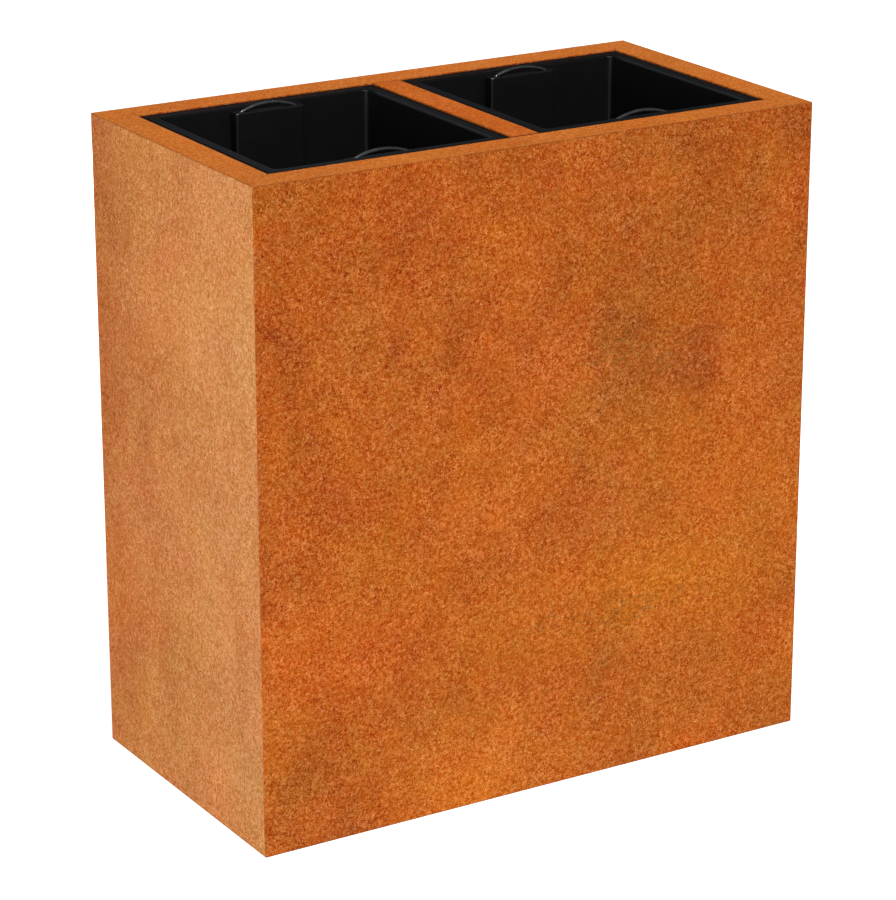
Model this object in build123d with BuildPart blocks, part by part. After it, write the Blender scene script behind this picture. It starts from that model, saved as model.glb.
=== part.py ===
from build123d import *
import os

# Free-standing street planter: a welded weathering-steel box with two lift-out liners.
# Frame: origin at the middle of the footprint on the ground, +Z up, X along the length,
# the front face at -Y. All lengths in millimetres.

# ---------------------------------------------------------------- overall
LENGTH = 850.0
WIDTH = 450.0
HEIGHT = 900.0
HALF_L = LENGTH / 2
HALF_W = WIDTH / 2

# ---------------------------------------------------------------- steel shell
SHEET_T = 3.0          # side panels and base plate
RIM_W = 45.0           # flat bar of the rim
RIM_T = 5.0
EDGE_R = 1.5           # ground outer edges
CROSSBAR_W = 40.0
SEAM = 1.0             # open butt seam at each end of the crossbar
NOTCH_L = 9.0          # open end of each mitre at the inner corner
NOTCH_W = 1.2
HOLE_HALF_Y = HALF_W - RIM_W           # 180
HOLE_OUT_X = HALF_L - RIM_W            # 380
RIM_Z = HEIGHT - RIM_T                 # 895

LEDGE_T = 4.0          # unequal angle under the rim
LEDGE_DROP = 30.0
LEDGE_LAP = 17.0       # how far a ledge reaches into the bay
LEDGE_ROOT_R = 4.0
LEDGE_IN_Y = HOLE_HALF_Y - LEDGE_LAP   # 163
LEDGE_IN_X = HOLE_OUT_X - LEDGE_LAP    # 363
LEDGE_Z = RIM_Z - LEDGE_T              # 891
PANEL_IN_X = HALF_L - SHEET_T          # 422
PANEL_IN_Y = HALF_W - SHEET_T          # 222
CENTER_LEDGE_HALF = CROSSBAR_W / 2 + LEDGE_LAP   # 37
RIB_T = 4.0
RIB_H = 60.0

BASE_LEG = 50.0        # equal angle round the bottom
BASE_T = 5.0
BASE_ROOT_R = 5.0
ANCHOR_X = 390.0       # ground anchor holes, half spacing
ANCHOR_Y = 195.0
ANCHOR_R = 6.5
DRAIN_R = 10.0
DRAIN_DX = 240.0
DRAIN_DY = 170.0

# ---------------------------------------------------------------- liner
LINER_X = 200.0        # bay centre from the middle
LINER_WALL = 3.0
LINER_IN = 158.0       # half of the inside width at the top
LINER_FLANGE = 178.5   # half of the flange's outside width
FLANGE_Z0 = RIM_Z + 0.2
FLANGE_Z1 = FLANGE_Z0 + LINER_WALL
LINER_H = 320.0
LINER_Z0 = FLANGE_Z1 - LINER_H
LINER_FLOOR = 4.0
DRAFT = 0.5            # degrees
LINER_CORNER_R = 8.0
BOSS_HALF = 52.0       # handle boss, half width
BOSS_DEPTH = 18.0
BOSS_Z = 893.5
BOSS_EDGE_R = 5.0
BOSS_ROOT_R = 3.0      # outside, at the mouth of the channel
LINER_DRAIN_R = 6.0

# ---------------------------------------------------------------- handle
ROD_R = 2.5
HANDLE_Y = 149.0       # plane of the handle, from the liner's middle
LEG_X = 42.5           # leg from the handle's middle
HANDLE_TOP = 901.0     # rod centreline at the crown
CROWN_SLOPE = 22.0     # degrees, where the crown meets the leg bend
BEND_R = 6.0
LEG_END_Z = 815.0
SLOT_X0 = 29.5
SLOT_X1 = 48.6
SLOT_W = 7.0
STOP_R = 5.25          # push-on stop
STOP_T = 1.5
STOP_Z = 818.5

os.makedirs("parts", exist_ok=True)

# ================================================================ side panels
# Front and back panels run the full length; the end panels stand between them.
PANEL_H = RIM_Z

with BuildPart() as front_panel:
    with BuildSketch(Plane.XY):
        with Locations((0, -(HALF_W - SHEET_T / 2))):
            Rectangle(LENGTH, SHEET_T)
    extrude(amount=PANEL_H)
    fillet(front_panel.edges().filter_by(Axis.Z).group_by(Axis.Y)[0], radius=EDGE_R)

with BuildPart() as back_panel:
    mirror(front_panel.part, about=Plane.XZ)

with BuildPart() as left_end_panel:
    with BuildSketch(Plane.XY):
        with Locations((-(HALF_L - SHEET_T / 2), 0)):
            Rectangle(SHEET_T, WIDTH - 2 * SHEET_T)
    extrude(amount=PANEL_H)

with BuildPart() as right_end_panel:
    mirror(left_end_panel.part, about=Plane.YZ)

# ================================================================ rim
# One flat frame with ground outer edges; four mitred bars are cut from it.
with BuildPart() as rim_blank:
    with BuildSketch(Plane.XY.offset(RIM_Z)):
        Rectangle(LENGTH, WIDTH)
        Rectangle(2 * HOLE_OUT_X, 2 * HOLE_HALF_Y, mode=Mode.SUBTRACT)
    extrude(amount=RIM_T)
    # outer vertical corners
    corners = rim_blank.edges().filter_by(Axis.Z).filter_by(
        lambda e: abs(e.center().X) > HALF_L - 1)
    fillet(corners, radius=EDGE_R)
    # outer arris of the top face
    top = rim_blank.faces().sort_by(Axis.Z)[-1]
    fillet(top.outer_wire().edges(), radius=EDGE_R)
    # inner arris of the top face
    top = rim_blank.faces().sort_by(Axis.Z)[-1]
    chamfer(top.inner_wires()[0].edges(), length=0.5)
    # open notch at the inner end of every mitre
    with BuildSketch(Plane.XY.offset(RIM_Z)):
        for sx in (-1, 1):
            for sy in (-1, 1):
                with Locations((sx * HOLE_OUT_X, sy * HOLE_HALF_Y)):
                    Rectangle(2 * NOTCH_L, NOTCH_W, rotation=45 * sx * sy)
    extrude(amount=RIM_T, mode=Mode.SUBTRACT)

with BuildPart() as front_rim:
    add(rim_blank.part)
    with BuildSketch(Plane.XY.offset(RIM_Z)):
        with BuildLine():
            Polyline((-HALF_L, -HALF_W), (HALF_L, -HALF_W), (HOLE_OUT_X, -HOLE_HALF_Y),
                     (-HOLE_OUT_X, -HOLE_HALF_Y), close=True)
        make_face()
    extrude(amount=RIM_T, mode=Mode.INTERSECT)

with BuildPart() as back_rim:
    mirror(front_rim.part, about=Plane.XZ)

with BuildPart() as left_rim:
    add(rim_blank.part)
    with BuildSketch(Plane.XY.offset(RIM_Z)):
        with BuildLine():
            Polyline((-HALF_L, -HALF_W), (-HALF_L, HALF_W), (-HOLE_OUT_X, HOLE_HALF_Y),
                     (-HOLE_OUT_X, -HOLE_HALF_Y), close=True)
        make_face()
    extrude(amount=RIM_T, mode=Mode.INTERSECT)

with BuildPart() as right_rim:
    mirror(left_rim.part, about=Plane.YZ)

with BuildPart() as crossbar:
    with BuildSketch(Plane.XY.offset(RIM_Z)):
        Rectangle(CROSSBAR_W, 2 * (HOLE_HALF_Y - SEAM))
    extrude(amount=RIM_T)
    chamfer(crossbar.faces().sort_by(Axis.Z)[-1].edges(), length=0.5)

# ================================================================ ledges under the rim
# Unequal angles: the wide leg lies under the rim and reaches into the bay, the short leg is
# welded to the panel.
with BuildPart() as front_ledge:
    with BuildSketch(Plane.YZ):
        with BuildLine():
            Polyline((-PANEL_IN_Y, RIM_Z), (-LEDGE_IN_Y, RIM_Z), (-LEDGE_IN_Y, LEDGE_Z),
                     (-PANEL_IN_Y + LEDGE_T, LEDGE_Z),
                     (-PANEL_IN_Y + LEDGE_T, RIM_Z - LEDGE_DROP),
                     (-PANEL_IN_Y, RIM_Z - LEDGE_DROP), close=True)
        make_face()
    extrude(amount=PANEL_IN_X, both=True)
    root = front_ledge.edges().filter_by(Axis.X).sort_by_distance(
        (0, -PANEL_IN_Y + LEDGE_T, LEDGE_Z))[0]
    fillet(root, radius=LEDGE_ROOT_R)

with BuildPart() as back_ledge:
    mirror(front_ledge.part, about=Plane.XZ)

with BuildPart() as left_end_ledge:
    with BuildSketch(Plane.XZ):
        with BuildLine():
            Polyline((-PANEL_IN_X, RIM_Z), (-LEDGE_IN_X, RIM_Z), (-LEDGE_IN_X, LEDGE_Z),
                     (-PANEL_IN_X + LEDGE_T, LEDGE_Z),
                     (-PANEL_IN_X + LEDGE_T, RIM_Z - LEDGE_DROP),
                     (-PANEL_IN_X, RIM_Z - LEDGE_DROP), close=True)
        make_face()
    extrude(amount=LEDGE_IN_Y, both=True)
    root = left_end_ledge.edges().filter_by(Axis.Y).sort_by_distance(
        (-PANEL_IN_X + LEDGE_T, 0, LEDGE_Z))[0]
    fillet(root, radius=LEDGE_ROOT_R)

with BuildPart() as right_end_ledge:
    mirror(left_end_ledge.part, about=Plane.YZ)

# Flat bar under the crossbar; it carries the inner flanges of both liners.
with BuildPart() as crossbar_ledge:
    with BuildSketch(Plane.XY.offset(LEDGE_Z)):
        Rectangle(2 * CENTER_LEDGE_HALF, 2 * LEDGE_IN_Y)
    extrude(amount=LEDGE_T)

# Flat bar on edge under the crossbar, from the front ledge to the back ledge.
RIB_HALF = PANEL_IN_Y - LEDGE_T
with BuildPart() as center_rib:
    with BuildSketch(Plane.YZ):
        with BuildLine():
            Polyline((-RIB_HALF + LEDGE_ROOT_R, LEDGE_Z), (RIB_HALF - LEDGE_ROOT_R, LEDGE_Z),
                     (RIB_HALF, LEDGE_Z - LEDGE_ROOT_R), (RIB_HALF, LEDGE_Z - 20),
                     (LEDGE_IN_Y, LEDGE_Z - RIB_H), (-LEDGE_IN_Y, LEDGE_Z - RIB_H),
                     (-RIB_HALF, LEDGE_Z - 20), (-RIB_HALF, LEDGE_Z - LEDGE_ROOT_R),
                     close=True)
        make_face()
    extrude(amount=RIB_T / 2, both=True)

# ================================================================ bottom frame
with BuildPart() as front_base_angle:
    with BuildSketch(Plane.YZ):
        with BuildLine():
            Polyline((-PANEL_IN_Y, 0), (-PANEL_IN_Y + BASE_LEG, 0),
                     (-PANEL_IN_Y + BASE_LEG, BASE_T), (-PANEL_IN_Y + BASE_T, BASE_T),
                     (-PANEL_IN_Y + BASE_T, BASE_LEG), (-PANEL_IN_Y, BASE_LEG), close=True)
        make_face()
    extrude(amount=PANEL_IN_X, both=True)
    with Locations((-ANCHOR_X, -ANCHOR_Y, 0), (ANCHOR_X, -ANCHOR_Y, 0)):
        Hole(radius=ANCHOR_R)

with BuildPart() as back_base_angle:
    mirror(front_base_angle.part, about=Plane.XZ)

BASE_IN_Y = PANEL_IN_Y - BASE_LEG
with BuildPart() as left_base_angle:
    with BuildSketch(Plane.XZ):
        with BuildLine():
            Polyline((-PANEL_IN_X, 0), (-PANEL_IN_X + BASE_LEG, 0),
                     (-PANEL_IN_X + BASE_LEG, BASE_T), (-PANEL_IN_X + BASE_T, BASE_T),
                     (-PANEL_IN_X + BASE_T, BASE_LEG), (-PANEL_IN_X, BASE_LEG), close=True)
        make_face()
    extrude(amount=BASE_IN_Y, both=True)

with BuildPart() as right_base_angle:
    mirror(left_base_angle.part, about=Plane.YZ)

with BuildPart() as base_plate:
    with BuildSketch(Plane.XY.offset(BASE_T)):
        Rectangle(2 * (PANEL_IN_X - BASE_T), 2 * (PANEL_IN_Y - BASE_T))
        with GridLocations(2 * ANCHOR_X, 2 * ANCHOR_Y, 2, 2):
            Circle(ANCHOR_R, mode=Mode.SUBTRACT)
        with GridLocations(DRAIN_DX, DRAIN_DY, 3, 2):
            Circle(DRAIN_R, mode=Mode.SUBTRACT)
    extrude(amount=SHEET_T)

# ================================================================ liner
# Thin moulded insert. In plan the wall jogs inwards round a channel that is open to the
# outside; the capped channel is the handle boss.
CHANNEL_HALF = BOSS_HALF - LINER_WALL
LINER_OUT = LINER_IN + LINER_WALL
BOSS_FACE = LINER_IN - BOSS_DEPTH           # 140
CHANNEL_FACE = BOSS_FACE + LINER_WALL       # 143
BOSS_CAP_Z = BOSS_Z - LINER_WALL            # 890.5

with BuildPart() as left_liner:
    # lower shell, outside
    with BuildSketch(Plane((-LINER_X, 0, BOSS_CAP_Z), x_dir=(1, 0, 0), z_dir=(0, 0, -1))) as lower_out:
        Rectangle(2 * LINER_OUT, 2 * LINER_OUT)
        with Locations((0, LINER_OUT), (0, -LINER_OUT)):
            Rectangle(2 * CHANNEL_HALF, 2 * (LINER_OUT - CHANNEL_FACE), mode=Mode.SUBTRACT)
        fillet(lower_out.vertices().filter_by(
            lambda v: abs(v.X) > LINER_OUT - 1), radius=LINER_CORNER_R + LINER_WALL)
        fillet(lower_out.vertices().filter_by(
            lambda v: abs(abs(v.X) - CHANNEL_HALF) < 0.1 and abs(abs(v.Y) - LINER_OUT) < 0.1),
            radius=BOSS_ROOT_R)
        fillet(lower_out.vertices().filter_by(
            lambda v: abs(abs(v.X) - CHANNEL_HALF) < 0.1 and abs(abs(v.Y) - CHANNEL_FACE) < 0.1),
            radius=BOSS_EDGE_R - LINER_WALL)
    extrude(amount=BOSS_CAP_Z - LINER_Z0, taper=DRAFT)
    # upper band and flange, outside
    with BuildSketch(Plane((-LINER_X, 0, BOSS_CAP_Z))):
        RectangleRounded(2 * LINER_OUT, 2 * LINER_OUT, LINER_CORNER_R + LINER_WALL)
    extrude(amount=FLANGE_Z1 - BOSS_CAP_Z)
    with BuildSketch(Plane((-LINER_X, 0, FLANGE_Z0))):
        RectangleRounded(2 * LINER_FLANGE, 2 * LINER_FLANGE, 4.0)
    extrude(amount=FLANGE_Z1 - FLANGE_Z0)
    # inside, from the boss top down
    with BuildSketch(Plane((-LINER_X, 0, BOSS_Z), x_dir=(1, 0, 0), z_dir=(0, 0, -1))) as lower_in:
        Rectangle(2 * LINER_IN, 2 * LINER_IN)
        with Locations((0, LINER_IN), (0, -LINER_IN)):
            Rectangle(2 * BOSS_HALF, 2 * BOSS_DEPTH, mode=Mode.SUBTRACT)
        fillet(lower_in.vertices().filter_by(
            lambda v: abs(v.X) > LINER_IN - 1), radius=LINER_CORNER_R)
        fillet(lower_in.vertices().filter_by(
            lambda v: abs(abs(v.X) - BOSS_HALF) < 0.1 and abs(abs(v.Y) - BOSS_FACE) < 0.1),
            radius=BOSS_EDGE_R)
    extrude(amount=BOSS_Z - LINER_Z0 - LINER_FLOOR, taper=DRAFT, mode=Mode.SUBTRACT)
    # inside, above the boss top
    with BuildSketch(Plane((-LINER_X, 0, BOSS_Z))):
        RectangleRounded(2 * LINER_IN, 2 * LINER_IN, LINER_CORNER_R)
    extrude(amount=FLANGE_Z1 - BOSS_Z, mode=Mode.SUBTRACT)
    # rounded mouth
    mouth = left_liner.edges().filter_by(
        lambda e: abs(e.center().Z - FLANGE_Z1) < 0.01
        and abs(e.center().X + LINER_X) < LINER_IN + 1 and abs(e.center().Y) < LINER_IN + 1)
    fillet(mouth, radius=2.5)
    # rounded front of the boss tops
    boss_lip = left_liner.edges().filter_by(
        lambda e: abs(e.center().Z - BOSS_Z) < 0.01
        and abs(e.center().X + LINER_X) < BOSS_HALF + 0.5
        and BOSS_FACE - 0.5 < abs(e.center().Y) < LINER_IN - 4.0)
    fillet(boss_lip, radius=2.0)
    # outer arris of the flange
    rim_edge = left_liner.edges().filter_by(
        lambda e: abs(e.center().Z - FLANGE_Z1) < 0.01
        and (abs(e.center().X + LINER_X) > LINER_FLANGE - 2
             or abs(e.center().Y) > LINER_FLANGE - 2))
    fillet(rim_edge, radius=0.8)
    # slots for the handle legs, through the boss tops
    with BuildSketch(Plane((-LINER_X, 0, BOSS_Z))):
        slot_x = (SLOT_X0 + SLOT_X1) / 2
        with GridLocations(2 * slot_x, 2 * HANDLE_Y, 2, 2):
            SlotOverall(SLOT_X1 - SLOT_X0, SLOT_W)
    extrude(amount=-LINER_WALL - 0.5, mode=Mode.SUBTRACT)
    # drain holes in the floor
    with BuildSketch(Plane((-LINER_X, 0, LINER_Z0))):
        Circle(LINER_DRAIN_R)
        with PolarLocations(90.0, 4, start_angle=45):
            Circle(LINER_DRAIN_R)
    extrude(amount=LINER_FLOOR, mode=Mode.SUBTRACT)

with BuildPart() as right_liner:
    mirror(left_liner.part, about=Plane.YZ)

# ================================================================ handles
# Bent wire: a flat crown, a tight bend at each end, and two straight legs down the channel.
import math
slope = math.radians(CROWN_SLOPE)
CROWN_R = (LEG_X - BEND_R * (1 - math.sin(slope))) / math.sin(slope)
LEG_TOP_Z = HANDLE_TOP - BEND_R * math.cos(slope) - CROWN_R * (1 - math.cos(slope))

with BuildPart() as left_front_handle:
    with BuildLine(Plane((-LINER_X, -HANDLE_Y, 0), x_dir=(1, 0, 0), z_dir=(0, -1, 0))) as wire:
        leg_a = Line((-LEG_X, LEG_END_Z), (-LEG_X, LEG_TOP_Z))
        bend_a = JernArc(start=leg_a @ 1, tangent=leg_a % 1, radius=BEND_R, arc_size=-(90 - CROWN_SLOPE))
        crown = JernArc(start=bend_a @ 1, tangent=bend_a % 1, radius=CROWN_R, arc_size=-2 * CROWN_SLOPE)
        bend_b = JernArc(start=crown @ 1, tangent=crown % 1, radius=BEND_R, arc_size=-(90 - CROWN_SLOPE))
        leg_b = Line(bend_b @ 1, (LEG_X, LEG_END_Z))
    with BuildSketch(Plane((-LINER_X - LEG_X, -HANDLE_Y, LEG_END_Z))):
        Circle(ROD_R)
    sweep()
    leg_ends = left_front_handle.edges().filter_by(GeomType.CIRCLE).group_by(Axis.Z)[0]
    chamfer(leg_ends, length=0.6)

with BuildPart() as left_back_handle:
    mirror(left_front_handle.part, about=Plane.XZ)
with BuildPart() as right_front_handle:
    mirror(left_front_handle.part, about=Plane.YZ)
with BuildPart() as right_back_handle:
    mirror(left_back_handle.part, about=Plane.YZ)

# Push-on stops: a domed disc on each leg end, one pair for each handle.
with BuildPart() as left_front_handle_stops:
    for side in (-1, 1):
        with BuildSketch(Plane((-LINER_X + side * LEG_X, -HANDLE_Y, 0), x_dir=(1, 0, 0), z_dir=(0, -1, 0))):
            with BuildLine():
                Polyline((ROD_R + 0.05, STOP_Z), (STOP_R - 0.3, STOP_Z), (STOP_R, STOP_Z + 0.3),
                         (STOP_R, STOP_Z + STOP_T - 0.3), (STOP_R - 0.3, STOP_Z + STOP_T),
                         (ROD_R + 0.05, STOP_Z + STOP_T), close=True)
            make_face()
        revolve(axis=Axis((-LINER_X + side * LEG_X, -HANDLE_Y, 0), (0, 0, 1)))

with BuildPart() as left_back_handle_stops:
    mirror(left_front_handle_stops.part, about=Plane.XZ)
with BuildPart() as right_front_handle_stops:
    mirror(left_front_handle_stops.part, about=Plane.YZ)
with BuildPart() as right_back_handle_stops:
    mirror(left_back_handle_stops.part, about=Plane.YZ)

# ================================================================ labels and files
PIECES = {
    "front_panel": front_panel, "back_panel": back_panel,
    "left_end_panel": left_end_panel, "right_end_panel": right_end_panel,
    "front_rim": front_rim, "back_rim": back_rim, "left_rim": left_rim, "right_rim": right_rim,
    "crossbar": crossbar, "crossbar_ledge": crossbar_ledge, "center_rib": center_rib,
    "front_ledge": front_ledge, "back_ledge": back_ledge,
    "left_end_ledge": left_end_ledge, "right_end_ledge": right_end_ledge,
    "front_base_angle": front_base_angle, "back_base_angle": back_base_angle,
    "left_base_angle": left_base_angle, "right_base_angle": right_base_angle,
    "base_plate": base_plate,
    "left_liner": left_liner, "right_liner": right_liner,
    "left_front_handle": left_front_handle, "left_back_handle": left_back_handle,
    "right_front_handle": right_front_handle, "right_back_handle": right_back_handle,
    "left_front_handle_stops": left_front_handle_stops,
    "left_back_handle_stops": left_back_handle_stops,
    "right_front_handle_stops": right_front_handle_stops,
    "right_back_handle_stops": right_back_handle_stops,
}
for label, piece in PIECES.items():
    piece.part.label = label
    export_step(piece.part, f"parts/{label}.step")
print(len(PIECES), "parts written; crown radius", round(CROWN_R, 1), "leg top", round(LEG_TOP_Z, 1))
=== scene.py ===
import bpy
import math
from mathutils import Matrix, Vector

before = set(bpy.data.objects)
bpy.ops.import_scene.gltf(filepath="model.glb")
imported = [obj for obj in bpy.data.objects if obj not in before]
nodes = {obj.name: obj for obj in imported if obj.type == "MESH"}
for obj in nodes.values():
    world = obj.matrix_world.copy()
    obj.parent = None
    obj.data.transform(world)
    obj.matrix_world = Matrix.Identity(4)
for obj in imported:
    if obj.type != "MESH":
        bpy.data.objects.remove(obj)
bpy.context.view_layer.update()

scene = bpy.context.scene

# ------------------------------------------------------------------ sizes, in metres
HALF_L, HALF_W, TOP = 0.425, 0.225, 0.900


def lin(r, g, b):
    """sRGB 0-255 to linear."""
    out = []
    for v in (r, g, b):
        v = v / 255.0
        out.append(v / 12.92 if v <= 0.04045 else ((v + 0.055) / 1.055) ** 2.4)
    return out[0], out[1], out[2], 1.0


# ------------------------------------------------------------------ node helpers
class Tree:
    """A short way to write node trees."""

    def __init__(self, name):
        self.mat = bpy.data.materials.new(name)
        self.mat.use_nodes = True
        self.t = self.mat.node_tree
        self.t.nodes.clear()
        self.out = self.t.nodes.new("ShaderNodeOutputMaterial")
        self.bsdf = self.t.nodes.new("ShaderNodeBsdfPrincipled")
        self.t.links.new(self.bsdf.outputs[0], self.out.inputs[0])
        tc = self.t.nodes.new("ShaderNodeTexCoord")
        tc.name = "Texture Coordinate"
        self.coord = tc.outputs["Object"]

    def link(self, a, b):
        self.t.links.new(a, b)

    def put(self, socket, value):
        if isinstance(value, bpy.types.NodeSocket):
            self.link(value, socket)
        else:
            socket.default_value = value

    def mapping(self, loc=(0, 0, 0), scale=(1, 1, 1), rot=(0, 0, 0), src=None):
        n = self.t.nodes.new("ShaderNodeMapping")
        n.inputs["Location"].default_value = loc
        n.inputs["Scale"].default_value = scale
        n.inputs["Rotation"].default_value = rot
        self.link(src or self.coord, n.inputs[0])
        return n.outputs[0]

    def noise(self, vec, scale, detail=3.0, rough=0.5, distort=0.0, lac=2.0, color=False):
        n = self.t.nodes.new("ShaderNodeTexNoise")
        n.noise_dimensions = "3D"
        self.link(vec, n.inputs["Vector"])
        n.inputs["Scale"].default_value = scale
        n.inputs["Detail"].default_value = detail
        n.inputs["Roughness"].default_value = rough
        n.inputs["Distortion"].default_value = distort
        n.inputs["Lacunarity"].default_value = lac
        return n.outputs["Color" if color else "Fac"]

    def voronoi(self, vec, scale, feature="F1", out="Distance", rand=1.0, smooth=None):
        n = self.t.nodes.new("ShaderNodeTexVoronoi")
        n.feature = feature
        self.link(vec, n.inputs["Vector"])
        n.inputs["Scale"].default_value = scale
        n.inputs["Randomness"].default_value = rand
        if smooth is not None and feature == "SMOOTH_F1":
            n.inputs["Smoothness"].default_value = smooth
        return n.outputs[out]

    def math(self, op, a, b=0.0, c=None, clamp=False):
        n = self.t.nodes.new("ShaderNodeMath")
        n.operation = op
        n.use_clamp = clamp
        self.put(n.inputs[0], a)
        self.put(n.inputs[1], b)
        if c is not None:
            self.put(n.inputs[2], c)
        return n.outputs[0]

    def remap(self, v, a, b, c=0.0, d=1.0, smooth=True):
        n = self.t.nodes.new("ShaderNodeMapRange")
        n.interpolation_type = "SMOOTHSTEP" if smooth else "LINEAR"
        n.clamp = True
        self.put(n.inputs["Value"], v)
        n.inputs["From Min"].default_value = a
        n.inputs["From Max"].default_value = b
        n.inputs["To Min"].default_value = c
        n.inputs["To Max"].default_value = d
        return n.outputs[0]

    def ramp(self, v, stops, interp="LINEAR"):
        n = self.t.nodes.new("ShaderNodeValToRGB")
        cr = n.color_ramp
        cr.interpolation = interp
        while len(cr.elements) > 1:
            cr.elements.remove(cr.elements[0])
        cr.elements[0].position, cr.elements[0].color = stops[0]
        for p, c in stops[1:]:
            e = cr.elements.new(p)
            e.color = c
        self.link(v, n.inputs[0])
        return n.outputs[0]

    def mix(self, fac, a, b, mode="MIX"):
        n = self.t.nodes.new("ShaderNodeMix")
        n.data_type = "RGBA"
        n.blend_type = mode
        n.clamp_factor = True
        ins = [s for s in n.inputs if s.type == "RGBA"]
        self.put(n.inputs[0], fac)
        self.put(ins[0], a)
        self.put(ins[1], b)
        return [s for s in n.outputs if s.type == "RGBA"][0]

    def scale_color(self, color, k):
        """colour times a grey value"""
        n = self.t.nodes.new("ShaderNodeVectorMath")
        n.operation = "SCALE"
        self.link(color, n.inputs[0])
        self.put(n.inputs["Scale"], k)
        return n.outputs[0]

    def sep(self, vec=None):
        n = self.t.nodes.new("ShaderNodeSeparateXYZ")
        self.link(vec or self.coord, n.inputs[0])
        return n.outputs

    def bump(self, height, strength, distance, normal=None):
        n = self.t.nodes.new("ShaderNodeBump")
        n.inputs["Strength"].default_value = strength
        n.inputs["Distance"].default_value = distance
        self.link(height, n.inputs["Height"])
        if normal is not None:
            self.link(normal, n.inputs["Normal"])
        return n.outputs[0]


# ------------------------------------------------------------------ weathering steel
# contrast of each scale of the pattern, in display units
G_CLOUD, G_PATCH, G_FLECK, G_GRAIN, G_FINE, G_CELL = 0.12, 0.165, 0.090, 0.385, 0.455, 0.12
G_HUE, G_HUEF, G_SAT = 0.15, 0.13, 0.09
# share of the fine and the medium grain in red, green and blue; both are close to neutral
FINE_RGB, MEDIUM_RGB = (0.94, 1.24, 1.60), (1.00, 0.98, 0.92)


def look(seed, base, grain=1.0, cloud=1.0, top_dark=0.0, ramp_y=None, spots=(), marks=(), broad=(1.30, 0.88, 0.30), runs=0.8):
    """One way the patina can look. base is the mean colour; grain and cloud scale the fine and the
    broad contrast; top_dark paints shade, darker towards the top; ramp_y paints light, the change of
    colour from back to front; spots are broad patches (axis coordinate, height, half width, half
    height, colour change); marks are places with fine dark scratches (axis coordinate, height, half
    width, half height); broad is the share of the broad pattern in red, green and blue; runs, under 1,
    draws it out in height."""
    return dict(seed=seed, base=base, grain=grain, cloud=cloud, top_dark=top_dark, ramp_y=ramp_y, spots=spots, marks=marks, broad=broad, runs=runs)


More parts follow.
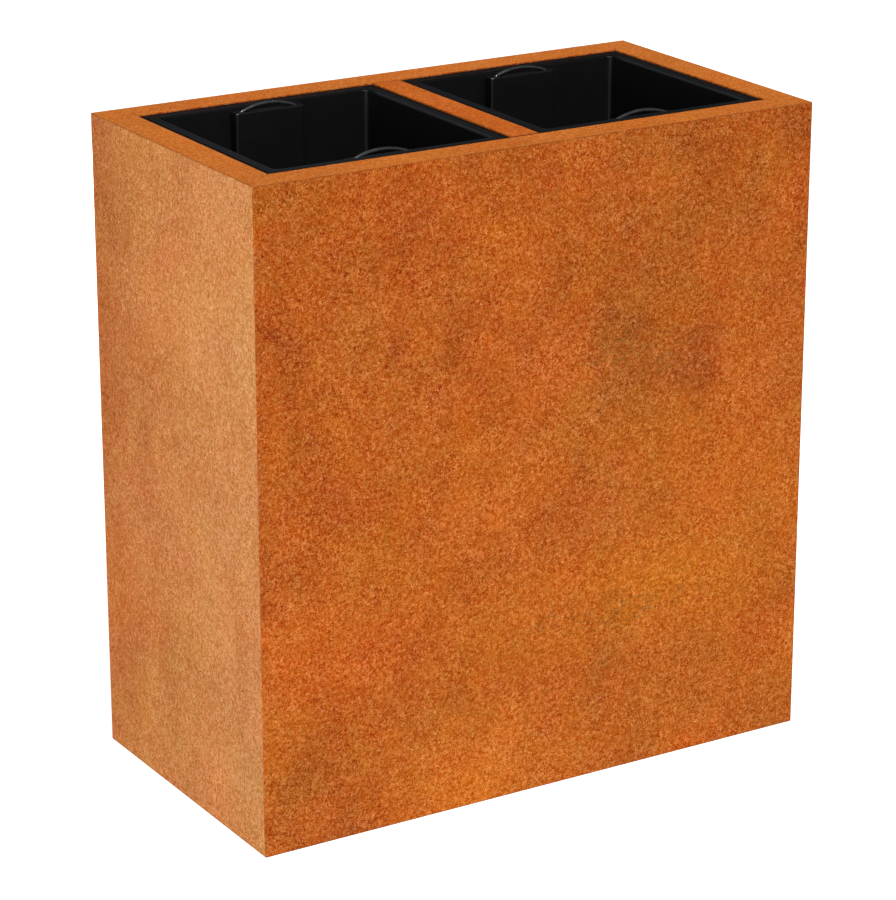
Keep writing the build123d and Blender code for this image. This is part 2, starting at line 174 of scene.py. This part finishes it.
def patina(k, s, axis=0):
    """Colour (display space), relief and grain of one look, as sockets of tree k."""
    seed, grain, cloud = s["seed"], s["grain"], s["cloud"]
    p = k.mapping(loc=seed)

    def centred(v, gain):
        return k.math("MULTIPLY", k.math("SUBTRACT", v, 0.5), gain)

    def skewed(v):
        """a little more depth in the dark than in the light"""
        return k.math("MULTIPLY_ADD", v, k.math("MULTIPLY", v, -1.2), v)

    # the broad pattern runs down the face a little, as the rain does
    runs = k.mapping(loc=seed, scale=(1, 1, s["runs"]))
    cloud_n = k.noise(runs, 3.2, 3.0, 0.5, 0.5)
    patch_n = k.noise(runs, 11.0, 4.0, 0.6, 0.6)
    fleck_n = k.noise(p, 48.0, 4.0, 0.62, 0.4)
    grain_n = k.noise(p, 215.0, 2.0, 0.6, 0.6)
    fine_n = k.noise(p, 520.0, 1.0, 0.5, 0.3)
    cell_v = k.sep(k.voronoi(k.mapping(loc=seed, rot=(0.4, 0.3, 0.2)), 300.0, "F1", "Color"))[0]
    # the grain breaks up from place to place
    strength = k.remap(k.noise(k.mapping(loc=(seed[1], seed[2], seed[0])), 22.0, 4.0, 0.6, 0.3), 0.30, 0.70, 0.82, 1.18)
    medium = k.math("MULTIPLY", centred(grain_n, G_GRAIN * grain), strength)
    fine = k.math("ADD", centred(cell_v, G_CELL * grain), centred(fine_n, G_FINE * grain))
    fine = skewed(k.math("MULTIPLY", fine, strength))
    medium = skewed(medium)
    value = centred(fleck_n, G_FLECK * cloud)
    value = k.math("ADD", value, centred(patch_n, G_PATCH * cloud))
    value = skewed(k.math("ADD", value, centred(cloud_n, G_CLOUD * cloud)))
    # hue: red-orange against yellow-brown, independent of the value
    hue_n = k.noise(k.mapping(loc=(seed[0] + 7.3, seed[1], seed[2])), 6.5, 4.0, 0.62, 0.6)
    hue_f = k.noise(k.mapping(loc=(seed[0], seed[1] + 3.1, seed[2])), 150.0, 2.0, 0.6, 0.4)
    hue = k.math("ADD", centred(hue_n, G_HUE * cloud), centred(hue_f, G_HUEF * grain))
    xyz = k.sep()
    x, y, z = xyz[0], xyz[1], xyz[2]
    sat = centred(k.noise(k.mapping(loc=(seed[0], seed[1] + 5.9, seed[2] + 1.3)), 9.0, 5.0, 0.65, 0.5), G_SAT * cloud)
    r, g, b = (v / 255.0 for v in s["base"])
    # broad patches; their outline is broken up by the patch noise
    for u, w, ru, rw, change in s["spots"]:
        du = k.math("MULTIPLY", k.math("SUBTRACT", xyz[axis], u), 1.0 / ru)
        dw = k.math("MULTIPLY", k.math("SUBTRACT", z, w), 1.0 / rw)
        r2 = k.math("MULTIPLY_ADD", du, du, k.math("MULTIPLY", dw, dw))
        d = k.math("ADD", k.math("SQRT", r2), centred(patch_n, 1.8))
        m = k.remap(d, 1.5, 0.1)
        r, g, b = (k.math("MULTIPLY_ADD", m, dv / 255.0, v) if dv else v for dv, v in zip(change, (r, g, b)))
    if s["top_dark"]:
        # painted shade: the face is darker towards the top and lighter at the foot, as bounce light from the floor
        # falls
        wob = k.math("MULTIPLY_ADD", k.math("SUBTRACT", patch_n, 0.5), 0.25, z)
        value = k.math("SUBTRACT", value, k.remap(wob, 0.35, 0.95, 0.0, s["top_dark"], smooth=False))
    # painted light: ramp_y changes the colour from back to front, lighter towards the front
    if s["ramp_y"]:
        dr, dg, db = (v / 255.0 for v in s["ramp_y"])
        t = k.remap(k.math("MULTIPLY_ADD", k.math("SUBTRACT", cloud_n, 0.5), 0.12, y), HALF_W, -HALF_W, -0.5, 0.5, smooth=False)
        r, g, b = k.math("MULTIPLY_ADD", t, dr, r), k.math("MULTIPLY_ADD", t, dg, g), k.math("MULTIPLY_ADD", t, db, b)
    c = k.t.nodes.new("ShaderNodeCombineColor")
    r = k.math("MULTIPLY_ADD", hue, 0.35, r)
    g = k.math("MULTIPLY_ADD", hue, -0.65, g)
    b = k.math("ADD", sat, k.math("MULTIPLY_ADD", hue, -0.35, b))
    for i, v in enumerate((r, g, b)):
        v = k.math("MULTIPLY_ADD", fine, FINE_RGB[i], k.math("MULTIPLY_ADD", medium, MEDIUM_RGB[i], v))
        v = k.math("MULTIPLY_ADD", value, s["broad"][i], v)
        k.link(k.math("MAXIMUM", v, 0.02), c.inputs[i])
    # dark pits, gathered in the darker patches
    pit = k.voronoi(k.mapping(loc=(seed[2], seed[0], seed[1])), 95.0, "F1", "Distance")
    pit_m = k.math("MULTIPLY", k.remap(pit, 0.16, 0.04, 0.0, 1.0), k.remap(patch_n, 0.52, 0.36, 0.0, 0.9))
    col = k.mix(k.math("MULTIPLY", pit_m, 0.5 * grain), c.outputs[0], (0.45, 0.21, 0.08, 1))
    for u, w, ru, rw in s["marks"]:
        du = k.math("MULTIPLY", k.math("SUBTRACT", xyz[axis], u), 1.0 / ru)
        dw = k.math("MULTIPLY", k.math("SUBTRACT", z, w), 1.0 / rw)
        d = k.math("SQRT", k.math("MULTIPLY_ADD", du, du, k.math("MULTIPLY", dw, dw)))
        near = k.remap(k.math("ADD", d, centred(fleck_n, 1.6)), 1.1, 0.6)
        line = k.math("ABSOLUTE", k.math("SUBTRACT", k.noise(k.mapping(loc=seed, scale=(1, 1, 1.6)), 38.0, 3.0, 0.6, 0.8), 0.5))
        col = k.mix(k.math("MULTIPLY", near, k.remap(line, 0.022, 0.004, 0.0, 0.55)), col, (0.47, 0.33, 0.17, 1))
    h = k.math("MULTIPLY_ADD", grain_n, 0.7, k.math("MULTIPLY", fleck_n, 0.4))
    h = k.math("SUBTRACT", h, k.math("MULTIPLY", pit_m, 0.6))
    return col, h, grain_n, fleck_n


def arris(k):
    """Distance from the nearest outer edge of the box, measured on any of its faces: the middle one
    of the three distances to the end, side and top or bottom planes."""
    x, y, z = k.sep()[:3]
    a = k.math("SUBTRACT", HALF_L, k.math("ABSOLUTE", x))
    b = k.math("SUBTRACT", HALF_W, k.math("ABSOLUTE", y))
    c = k.math("MINIMUM", k.math("SUBTRACT", TOP, z), z)
    lo, hi = k.math("MINIMUM", a, b), k.math("MAXIMUM", a, b)
    return k.math("MAXIMUM", lo, k.math("MINIMUM", hi, c))


def rust(name, s, axis=0, side=None, side_axis=0, relief=1.0, edge=0.0, ends=None):
    """Rust patina. The colour is put together in display space, where the grain adds the same amount
    to red, green and blue, and is turned to linear by a gamma node at the end. side is the look of
    the faces that stand upright, where it isn't the look of the top; edge paints shade along the outer
    arris; ends paints a dark seam line, grime and shade, past that distance from the middle of the box, in Y."""
    k = Tree(name)
    col, h, grain_n, fleck_n = patina(k, s, axis)
    if side:
        nz = k.sep(k.t.nodes["Texture Coordinate"].outputs["Normal"])[2]
        up = k.remap(k.math("ABSOLUTE", nz), 0.35, 0.80)
        col2, h2, grain2, fleck2 = patina(k, side, side_axis)
        col = k.mix(up, col2, col)
        m = k.t.nodes.new("ShaderNodeMix")
        m.data_type = "FLOAT"
        k.link(up, m.inputs[0])
        k.link(h2, m.inputs[2])
        k.link(h, m.inputs[3])
        h = m.outputs[0]
    # painted shade: a dark line along the outer arris of the box
    if edge:
        d = k.math("MULTIPLY_ADD", k.math("SUBTRACT", fleck_n, 0.5), 0.003, arris(k))
        col = k.mix(k.remap(d, 0.0022, 0.0006, 0.0, edge), col, (0.40, 0.22, 0.10, 1))
    # a dark line at the crossbar's ends, in the seam against the rims: grime with painted shade
    if ends:
        y = k.math("ABSOLUTE", k.sep()[1])
        col = k.mix(k.remap(y, ends - 0.0035, ends - 0.0005, 0.0, 0.75), col, (0.22, 0.08, 0.03, 1))
    gam = k.t.nodes.new("ShaderNodeGamma")
    k.link(col, gam.inputs[0])
    gam.inputs[1].default_value = 2.2
    k.link(gam.outputs[0], k.bsdf.inputs["Base Color"])
    k.link(k.remap(grain_n, 0.3, 0.75, 0.88, 0.72), k.bsdf.inputs["Roughness"])
    k.bsdf.inputs["Specular IOR Level"].default_value = 0.15
    k.link(k.bump(h, 0.22 * relief, 0.0005), k.bsdf.inputs["Normal"])
    return k.mat


# broad patches: place along the face, height, half width, half height, colour change
FRONT_SPOTS = (
    (0.15, 0.255, 0.24, 0.085, (13, 12, 0)), (-0.07, 0.03, 0.17, 0.10, (9, 7, 2)), (-0.36, 0.05, 0.12, 0.11, (-8, -6, 0)),
    (-0.42, 0.58, 0.07, 0.22, (-8, -5, -1)), (0.247, 0.563, 0.055, 0.05, (-15, -14, -4)), (-0.10, 0.41, 0.07, 0.06, (8, 5, 2)),
    (0.11, 0.64, 0.05, 0.16, (-6, 2, 1)), (-0.31, 0.26, 0.14, 0.09, (7, -2, -3)), (0.035, 0.56, 0.06, 0.06, (5, 6, 3)),
    (0.36, 0.52, 0.08, 0.17, (5, 2, 2)), (0.24, 0.08, 0.15, 0.09, (-4, 2, 2)),
    (-0.28, 0.78, 0.20, 0.18, (-7, -7, -3)), (0.30, 0.37, 0.20, 0.30, (7, 6, 1)), (0.0, 0.10, 0.15, 0.10, (3, 2, 1)),
)
# on the left end the first spot, a dark band along the back edge, is painted shade; the others are patina
LEFT_SPOTS = (
    (0.225, 0.56, 0.07, 0.50, (-10, -9, -4)), (0.20, 0.25, 0.07, 0.12, (6, 1, -3)), (-0.06, 0.66, 0.10, 0.10, (4, 4, 3)),
    (0.06, 0.42, 0.05, 0.07, (-5, -5, -1)),
)
FRONT = look((3.1, 1.7, 0.4), (189, 98, 30), top_dark=0.032, spots=FRONT_SPOTS,
             marks=((0.10, 0.235, 0.16, 0.030), (0.16, 0.60, 0.10, 0.04)))
BACK = look((9.4, 2.2, 5.3), (191, 99, 33), top_dark=0.03)
# the left end: its own yellower patina, with a painted sheen in the base colour, a whitish veil; ramp_y paints it
# lighter towards the front
LEFT = look((1.2, 8.8, 3.3), (197, 125, 68), grain=0.77, cloud=0.85, ramp_y=(10, 17, 20), spots=LEFT_SPOTS, broad=(1.10, 1.15, 0.85), runs=0.6)
RIGHT = look((6.5, 4.1, 7.7), (192, 102, 38), grain=0.9)
RIM_TOP = look((4.4, 6.2, 1.9), (213, 117, 46), grain=0.62, cloud=0.6)
BAR = look((2.7, 3.8, 9.1), (208, 105, 37), grain=0.62, cloud=0.8)
FRAME = look((8.1, 0.6, 2.5), (120, 62, 30), grain=0.6, cloud=0.8)

RUST = {
    "front": rust("patina_front", FRONT, 0, edge=0.18),
    "back": rust("patina_back", BACK, 0, edge=0.18),
    "left": rust("patina_and_painted_sheen_left", LEFT, 1, edge=0.12),
    "right": rust("patina_right", RIGHT, 1, edge=0.18),
    "front_rim": rust("patina_front_rim", RIM_TOP, 0, FRONT, 0, 0.6, 0.40),
    "back_rim": rust("patina_back_rim", RIM_TOP, 0, BACK, 0, 0.6, 0.40),
    "left_rim": rust("patina_left_rim", RIM_TOP, 0, LEFT, 1, 0.6, 0.40),
    "right_rim": rust("patina_right_rim", RIM_TOP, 0, RIGHT, 1, 0.6, 0.40),
    "bar": rust("patina_crossbar", BAR, 0, relief=0.6, ends=0.179),
    "frame": rust("patina_frame", FRAME, 0),
}


# ------------------------------------------------------------------ plastic, wire, steel
def plastic():
    k = Tree("liner_black_plastic")
    p = k.mapping(loc=(0.3, 0.1, 0.7))
    n1 = k.noise(p, 6.0, 3.0, 0.5)
    n2 = k.noise(p, 900.0, 2.0, 0.5)
    dust = k.noise(p, 40.0, 5.0, 0.65)
    col = k.ramp(n1, [(0.3, lin(19, 19, 20)), (0.7, lin(22, 22, 23))])
    col = k.mix(k.remap(dust, 0.55, 0.8, 0.0, 0.15), col, lin(32, 32, 32))
    # painted highlights on the moulded corners, on the inside only: a light line down each, with a bright glint where
    # it meets the mouth
    x, y, z = k.sep()[:3]
    nx, ny, nz = k.sep(k.t.nodes["Texture Coordinate"].outputs["Normal"])[:3]
    off = k.math("MULTIPLY_ADD", k.math("SIGN", x), -0.200, x)
    inward = k.remap(k.math("MULTIPLY_ADD", off, nx, k.math("MULTIPLY", y, ny)), -0.005, -0.030)
    corner = k.math("MULTIPLY", k.math("MULTIPLY", nx, ny), inward)
    col = k.mix(k.remap(corner, 0.42, 0.49, 0.0, 0.95), col, lin(44, 44, 46))
    col = k.mix(k.remap(k.math("MULTIPLY", corner, nz), 0.09, 0.17), col, lin(120, 122, 126))
    # the flange: painted reflection and shade, bluish, darker at the back; a painted shadow along its
    # outer edge, under the rim; a painted highlight on the curve into the mouth, except at the back
    u = k.math("SUBTRACT", 0.1785, k.math("ABSOLUTE", k.math("SUBTRACT", k.math("ABSOLUTE", x), 0.200)))
    v = k.math("SUBTRACT", 0.1785, k.math("ABSOLUTE", y))
    d = k.math("MINIMUM", u, v)
    on_top = k.remap(z, 0.8955, 0.8975)
    # painted reflection and shade: a bluish flange tint, near black at the back
    flange = k.mix(k.remap(y, 0.120, 0.170), lin(9, 15, 20), lin(2, 3, 4))
    col = k.mix(on_top, col, flange)
    # painted highlight: a lighter line on the curve into the mouth, not at the back
    mouth_highlight = k.math("MULTIPLY", k.remap(z, 0.8945, 0.8965), k.math("MULTIPLY", k.remap(d, 0.0165, 0.0180), k.remap(y, 0.150, 0.120)))
    col = k.mix(k.math("MULTIPLY", mouth_highlight, 0.6), col, lin(40, 42, 44))
    # painted shadow: a dark strip along the flange's outer edge, under the rim; the plastic is rougher there too
    rim_shadow = k.math("MULTIPLY", on_top, k.remap(d, 0.0070, 0.0052))
    col = k.mix(rim_shadow, col, lin(8, 8, 8))
    k.link(col, k.bsdf.inputs["Base Color"])
    rough = k.remap(dust, 0.3, 0.8, 0.34, 0.48)
    k.link(k.math("ADD", rough, k.math("MULTIPLY", rim_shadow, 0.5)), k.bsdf.inputs["Roughness"])
    k.bsdf.inputs["Specular IOR Level"].default_value = 0.14
    k.link(k.bump(n2, 0.10, 0.0002), k.bsdf.inputs["Normal"])
    return k.mat


def wire():
    k = Tree("handle_black_wire")
    p = k.mapping(loc=(0.9, 0.4, 0.2))
    n1 = k.noise(p, 90.0, 4.0, 0.6)
    n2 = k.noise(p, 1500.0, 2.0, 0.5)
    col = k.ramp(n1, [(0.3, lin(30, 31, 33)), (0.7, lin(44, 46, 48))])
    k.link(col, k.bsdf.inputs["Base Color"])
    k.link(k.remap(n1, 0.3, 0.7, 0.20, 0.28), k.bsdf.inputs["Roughness"])
    k.bsdf.inputs["Specular IOR Level"].default_value = 1.0
    k.link(k.bump(n2, 0.03, 0.0001), k.bsdf.inputs["Normal"])
    return k.mat


def spring_steel():
    k = Tree("stop_spring_steel")
    p = k.mapping(loc=(0.2, 0.5, 0.8))
    n1 = k.noise(p, 200.0, 4.0, 0.6)
    col = k.ramp(n1, [(0.3, lin(120, 120, 124)), (0.7, lin(160, 160, 165))])
    k.link(col, k.bsdf.inputs["Base Color"])
    k.bsdf.inputs["Metallic"].default_value = 1.0
    k.link(k.remap(n1, 0.3, 0.7, 0.30, 0.48), k.bsdf.inputs["Roughness"])
    k.link(k.bump(n1, 0.1, 0.0002), k.bsdf.inputs["Normal"])
    return k.mat


PLASTIC, WIRE, SPRING = plastic(), wire(), spring_steel()


def dress(node, mat):
    o = nodes[node]
    o.data.materials.clear()
    o.data.materials.append(mat)


for n in nodes:
    if n == "front_panel":
        dress(n, RUST["front"])
    elif n == "back_panel":
        dress(n, RUST["back"])
    elif n == "left_end_panel":
        dress(n, RUST["left"])
    elif n == "right_end_panel":
        dress(n, RUST["right"])
    elif n == "crossbar":
        dress(n, RUST["bar"])
    elif n.endswith("_rim"):
        dress(n, RUST[n])
    elif n.endswith("_stops"):
        dress(n, SPRING)
    elif n.endswith("_handle"):
        dress(n, WIRE)
    elif n.endswith("_liner"):
        dress(n, PLASTIC)
    else:
        dress(n, RUST["frame"])


# ------------------------------------------------------------------ floor, light, camera
def floor():
    """A plain white floor, half a millimetre under the feet. The camera sees it fully lit; as a light
    it is dimmer. From below it is clear, so that the underside shows."""
    me = bpy.data.meshes.new("floor")
    s = 30.0
    me.from_pydata([(-s, -s, -0.0005), (s, -s, -0.0005), (s, s, -0.0005), (-s, s, -0.0005)], [], [(0, 1, 2, 3)])
    o = bpy.data.objects.new("floor", me)
    scene.collection.objects.link(o)
    m = bpy.data.materials.new("studio_floor")
    m.use_nodes = True
    t = m.node_tree
    b = t.nodes["Principled BSDF"]
    b.inputs["Base Color"].default_value = (0.5, 0.5, 0.5, 1)
    b.inputs["Roughness"].default_value = 0.9
    b.inputs["Specular IOR Level"].default_value = 0.0
    b.inputs["Emission Color"].default_value = (1, 1, 1, 1)
    lp = t.nodes.new("ShaderNodeLightPath")
    mr = t.nodes.new("ShaderNodeMapRange")
    t.links.new(lp.outputs["Is Camera Ray"], mr.inputs["Value"])
    mr.inputs["To Min"].default_value = 0.16
    mr.inputs["To Max"].default_value = 0.90
    t.links.new(mr.outputs[0], b.inputs["Emission Strength"])
    geo = t.nodes.new("ShaderNodeNewGeometry")
    clear = t.nodes.new("ShaderNodeBsdfTransparent")
    pick = t.nodes.new("ShaderNodeMixShader")
    t.links.new(geo.outputs["Backfacing"], pick.inputs[0])
    t.links.new(b.outputs[0], pick.inputs[1])
    t.links.new(clear.outputs[0], pick.inputs[2])
    t.links.new(pick.outputs[0], t.nodes["Material Output"].inputs[0])
    me.materials.append(m)
    return o


floor()

world = bpy.data.worlds.new("studio")
scene.world = world
world.use_nodes = True
wt = world.node_tree
wt.nodes.clear()
wo = wt.nodes.new("ShaderNodeOutputWorld")
# Seen directly the studio is white; as a light it is bright in front and at the left, dim behind.
wb = wt.nodes.new("ShaderNodeBackground")
wb.inputs[0].default_value = (1.0, 1.0, 1.0, 1)
wc = wt.nodes.new("ShaderNodeTexCoord")
wd = wt.nodes.new("ShaderNodeVectorMath")
wd.operation = "DOT_PRODUCT"
wd.inputs[1].default_value = (-0.30, -0.90, 0.30)
wr = wt.nodes.new("ShaderNodeMapRange")
wr.interpolation_type = "SMOOTHSTEP"
wr.inputs["From Min"].default_value = -0.6
wr.inputs["From Max"].default_value = 0.8
wr.inputs["To Min"].default_value = 0.06
wr.inputs["To Max"].default_value = 0.34
wt.links.new(wc.outputs["Generated"], wd.inputs[0])
wt.links.new(wd.outputs["Value"], wr.inputs["Value"])
wl = wt.nodes.new("ShaderNodeLightPath")
wm = wt.nodes.new("ShaderNodeMix")
wm.data_type = "FLOAT"
wt.links.new(wl.outputs["Is Camera Ray"], wm.inputs[0])
wt.links.new(wr.outputs[0], wm.inputs[2])
wm.inputs[3].default_value = 1.0
wt.links.new(wm.outputs[0], wb.inputs[1])
wt.links.new(wb.outputs[0], wo.inputs[0])


def area(name, loc, target, size, power, color=(1, 1, 1)):
    d = bpy.data.lights.new(name, "AREA")
    d.shape = "RECTANGLE"
    d.size, d.size_y = size
    d.energy = power
    d.color = color
    o = bpy.data.objects.new(name, d)
    o.location = loc
    v = Vector(target) - Vector(loc)
    o.rotation_euler = v.to_track_quat("-Z", "Y").to_euler()
    scene.collection.objects.link(o)
    return o


def sun(name, frm, strength, angle):
    d = bpy.data.lights.new(name, "SUN")
    d.energy = strength
    d.angle = math.radians(angle)
    o = bpy.data.objects.new(name, d)
    o.rotation_euler = (-Vector(frm)).to_track_quat("-Z", "Y").to_euler()
    scene.collection.objects.link(o)
    return o


# the key stands high in front; it reaches the inner walls of the liners
sun("key", (-0.12, -0.60, 0.79), 2.35, 12.0)
area("back", (0.7, 1.9, 2.5), (0, 0, 0.8), (0.7, 0.7), 1.3)
area("left", (-3.3, -0.8, 0.6), (-0.425, 0, 0.5), (1.2, 1.6), 55)
# low fills for the two far sides; they stand below the top, so they don't reach it
area("back_low", (0.8, 3.4, 0.45), (0, 0.225, 0.45), (1.8, 0.7), 48)
area("right_low", (3.4, 0.5, 0.45), (0.425, 0, 0.45), (1.6, 0.7), 40)

cam = bpy.data.cameras.new("camera")
cam_o = bpy.data.objects.new("camera", cam)
scene.collection.objects.link(cam_o)
scene.camera = cam_o
cam.sensor_width = 36.0
cam.lens = 3455.0 / 900.0 * 36.0
AZ, EL = math.radians(-31.530), math.radians(19.137)
back = Vector((math.sin(AZ) * math.cos(EL), -math.cos(AZ) * math.cos(EL), math.sin(EL)))
cam_o.location = (-2.3525, -3.8195, 1.9745)
cam_o.rotation_mode = "QUATERNION"
cam_o.rotation_quaternion = (-back).to_track_quat("-Z", "Y")
cam.clip_start, cam.clip_end = 0.05, 100.0

scene.view_settings.view_transform = "Standard"
scene.view_settings.look = "None"
